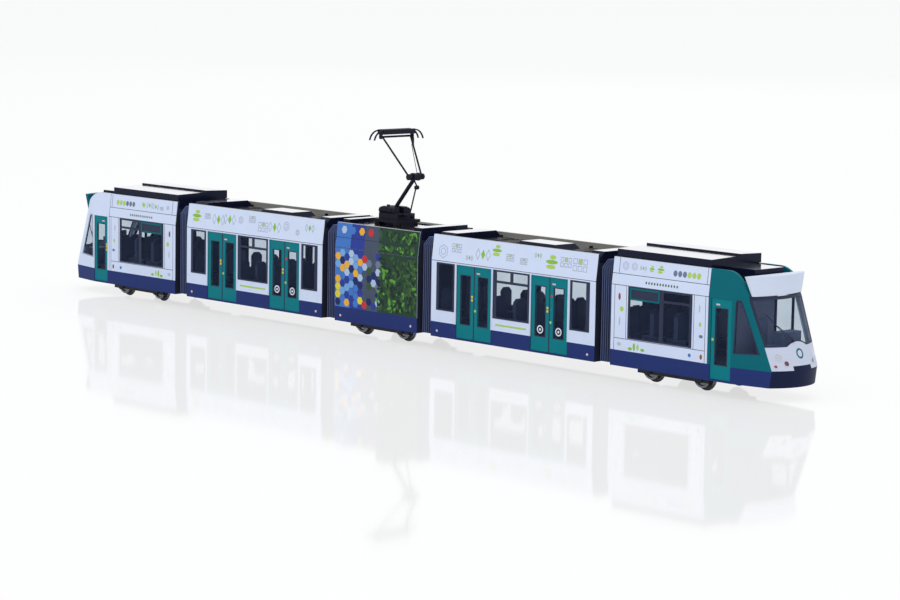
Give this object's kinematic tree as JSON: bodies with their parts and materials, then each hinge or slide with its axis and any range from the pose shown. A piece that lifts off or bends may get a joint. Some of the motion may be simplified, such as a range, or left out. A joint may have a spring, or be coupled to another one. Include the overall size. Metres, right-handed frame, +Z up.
{
  "type": "scale model of an articulated low-floor tram",
  "caption": "1:87 scale model of an articulated low-floor tram: hinged car bodies with pleated bellows, doors on one side, flanged wheelsets and a folding pantograph.",
  "frame": {"origin": "middle of the tram's length and width, at the bottom of the wheel flanges", "axes": "+X along the tram to its front cab, +Y to the side without doors, +Z up"},
  "size_m": [0.35, 0.0264, 0.0703],
  "materials": {
    "body_plastic": "satin white paint on moulded plastic, blue below the sill line",
    "teal_plastic": "satin teal paint on moulded plastic",
    "window_glass": "clear moulded plastic",
    "roof_plastic": "dark navy moulded plastic",
    "bellows_rubber": "dark navy pleated plastic",
    "interior_plastic": "dark moulded plastic",
    "chassis_metal": "black metal ballast plate",
    "wheel_metal": "blackened turned steel",
    "pantograph_metal": "dark painted metal",
    "lamp_lens": "clear lens"
  },
  "bodies": {
    "centre": {"centre_chassis": "chassis_metal", "centre_roof": "roof_plastic", "centre_shell": "body_plastic", "pantograph_base": "roof_plastic"},
    "cab_front": {"cab_front_chassis": "chassis_metal", "cab_front_desk": "interior_plastic", "cab_front_destination_box": "body_plastic", "cab_front_door": "teal_plastic", "cab_front_glazing": "window_glass", "cab_front_lamps": "lamp_lens", "cab_front_roof": "roof_plastic", "cab_front_seats": "interior_plastic", "cab_front_shell": "body_plastic"},
    "cab_rear": {"cab_rear_chassis": "chassis_metal", "cab_rear_desk": "interior_plastic", "cab_rear_destination_box": "body_plastic", "cab_rear_door": "teal_plastic", "cab_rear_glazing": "window_glass", "cab_rear_lamps": "lamp_lens", "cab_rear_roof": "roof_plastic", "cab_rear_seats": "interior_plastic", "cab_rear_shell": "body_plastic"},
    "saloon_front": {"saloon_front_doors": "teal_plastic", "saloon_front_floor": "chassis_metal", "saloon_front_glazing": "window_glass", "saloon_front_roof": "roof_plastic", "saloon_front_seats": "interior_plastic", "saloon_front_shell": "body_plastic"},
    "saloon_rear": {"saloon_rear_doors": "teal_plastic", "saloon_rear_floor": "chassis_metal", "saloon_rear_glazing": "window_glass", "saloon_rear_roof": "roof_plastic", "saloon_rear_seats": "interior_plastic", "saloon_rear_shell": "body_plastic"},
    "bellows_1": {"bellows_1": "bellows_rubber"},
    "bellows_2": {"bellows_2": "bellows_rubber"},
    "bellows_3": {"bellows_3": "bellows_rubber"},
    "bellows_4": {"bellows_4": "bellows_rubber"},
    "wheelset_1": {"wheelset_1": "wheel_metal"},
    "wheelset_2": {"wheelset_2": "wheel_metal"},
    "wheelset_3": {"wheelset_3": "wheel_metal"},
    "wheelset_4": {"wheelset_4": "wheel_metal"},
    "wheelset_5": {"wheelset_5": "wheel_metal"},
    "wheelset_6": {"wheelset_6": "wheel_metal"},
    "pantograph_lower_arm": {"pantograph_lower_arm": "pantograph_metal"},
    "pantograph_upper_arm": {"pantograph_upper_arm": "pantograph_metal"},
    "pantograph_tie_rod": {"pantograph_tie_rod": "pantograph_metal"},
    "pantograph_head": {"pantograph_head": "pantograph_metal"}
  },
  "joints": [
    {"name": "pivot_2", "type": "hinge", "parent": "centre", "child": "saloon_rear", "pos_m": [-0.024, 0, 0.0069], "axis": [0, 0, 1], "range_deg": [-10, 10]},
    {"name": "pivot_3", "type": "hinge", "parent": "centre", "child": "saloon_front", "pos_m": [0.024, 0, 0.0069], "axis": [0, 0, 1], "range_deg": [-10, 10]},
    {"name": "pivot_1", "type": "hinge", "parent": "saloon_rear", "child": "cab_rear", "pos_m": [-0.1052, 0, 0.0069], "axis": [0, 0, 1], "range_deg": [-10, 10]},
    {"name": "pivot_4", "type": "hinge", "parent": "saloon_front", "child": "cab_front", "pos_m": [0.1052, 0, 0.0069], "axis": [0, 0, 1], "range_deg": [-10, 10]},
    {"name": "bellows_2_turn", "type": "hinge", "parent": "centre", "child": "bellows_2", "pos_m": [-0.024, 0, 0.008], "axis": [0, 0, 1], "range_deg": [-5, 5]},
    {"name": "bellows_3_turn", "type": "hinge", "parent": "centre", "child": "bellows_3", "pos_m": [0.024, 0, 0.008], "axis": [0, 0, 1], "range_deg": [-5, 5]},
    {"name": "bellows_1_turn", "type": "hinge", "parent": "saloon_rear", "child": "bellows_1", "pos_m": [-0.1052, 0, 0.008], "axis": [0, 0, 1], "range_deg": [-5, 5]},
    {"name": "bellows_4_turn", "type": "hinge", "parent": "saloon_front", "child": "bellows_4", "pos_m": [0.1052, 0, 0.008], "axis": [0, 0, 1], "range_deg": [-5, 5]},
    {"name": "wheelset_1_spin", "type": "hinge", "parent": "cab_rear", "child": "wheelset_1", "pos_m": [-0.14335, 0, 0.00435], "axis": [0, 1, 0], "continuous": true},
    {"name": "wheelset_2_spin", "type": "hinge", "parent": "cab_rear", "child": "wheelset_2", "pos_m": [-0.12265, 0, 0.00435], "axis": [0, 1, 0], "continuous": true},
    {"name": "wheelset_3_spin", "type": "hinge", "parent": "centre", "child": "wheelset_3", "pos_m": [-0.01035, 0, 0.00435], "axis": [0, 1, 0], "continuous": true},
    {"name": "wheelset_4_spin", "type": "hinge", "parent": "centre", "child": "wheelset_4", "pos_m": [0.01035, 0, 0.00435], "axis": [0, 1, 0], "continuous": true},
    {"name": "wheelset_5_spin", "type": "hinge", "parent": "cab_front", "child": "wheelset_5", "pos_m": [0.12265, 0, 0.00435], "axis": [0, 1, 0], "continuous": true},
    {"name": "wheelset_6_spin", "type": "hinge", "parent": "cab_front", "child": "wheelset_6", "pos_m": [0.14335, 0, 0.00435], "axis": [0, 1, 0], "continuous": true},
    {"name": "pantograph_fold", "type": "hinge", "parent": "centre", "child": "pantograph_lower_arm", "pos_m": [-0.0054, 0, 0.043], "axis": [0, 1, 0], "range_deg": [0, 45.2], "stiffness_Nm_per_rad": 0.0002, "springref_deg": -57.3},
    {"name": "pantograph_knee", "type": "hinge", "parent": "pantograph_lower_arm", "child": "pantograph_upper_arm", "pos_m": [0.0048, 0, 0.0548], "axis": [0, 1, 0], "range_deg": [-92.88, 0]},
    {"name": "pantograph_tie_rod_turn", "type": "hinge", "parent": "centre", "child": "pantograph_tie_rod", "pos_m": [0.00426, -0.002, 0.0416], "axis": [0, 1, 0], "range_deg": [0, 61.58]},
    {"name": "pantograph_head_level", "type": "hinge", "parent": "pantograph_upper_arm", "child": "pantograph_head", "pos_m": [-0.0049, 0, 0.0679], "axis": [0, 1, 0], "range_deg": [0, 47.68]}
  ],
  "couplings": [
    {"joint": "bellows_1_turn", "follows": "pivot_1", "ratio": 0.5},
    {"joint": "bellows_2_turn", "follows": "pivot_2", "ratio": 0.5},
    {"joint": "bellows_3_turn", "follows": "pivot_3", "ratio": 0.5},
    {"joint": "bellows_4_turn", "follows": "pivot_4", "ratio": 0.5},
    {"joint": "pantograph_knee", "follows": "pantograph_fold", "ratio": -2.0505},
    {"joint": "pantograph_tie_rod_turn", "follows": "pantograph_fold", "ratio": 1.3579},
    {"joint": "pantograph_head_level", "follows": "pantograph_fold", "ratio": 1.0505}
  ]
}
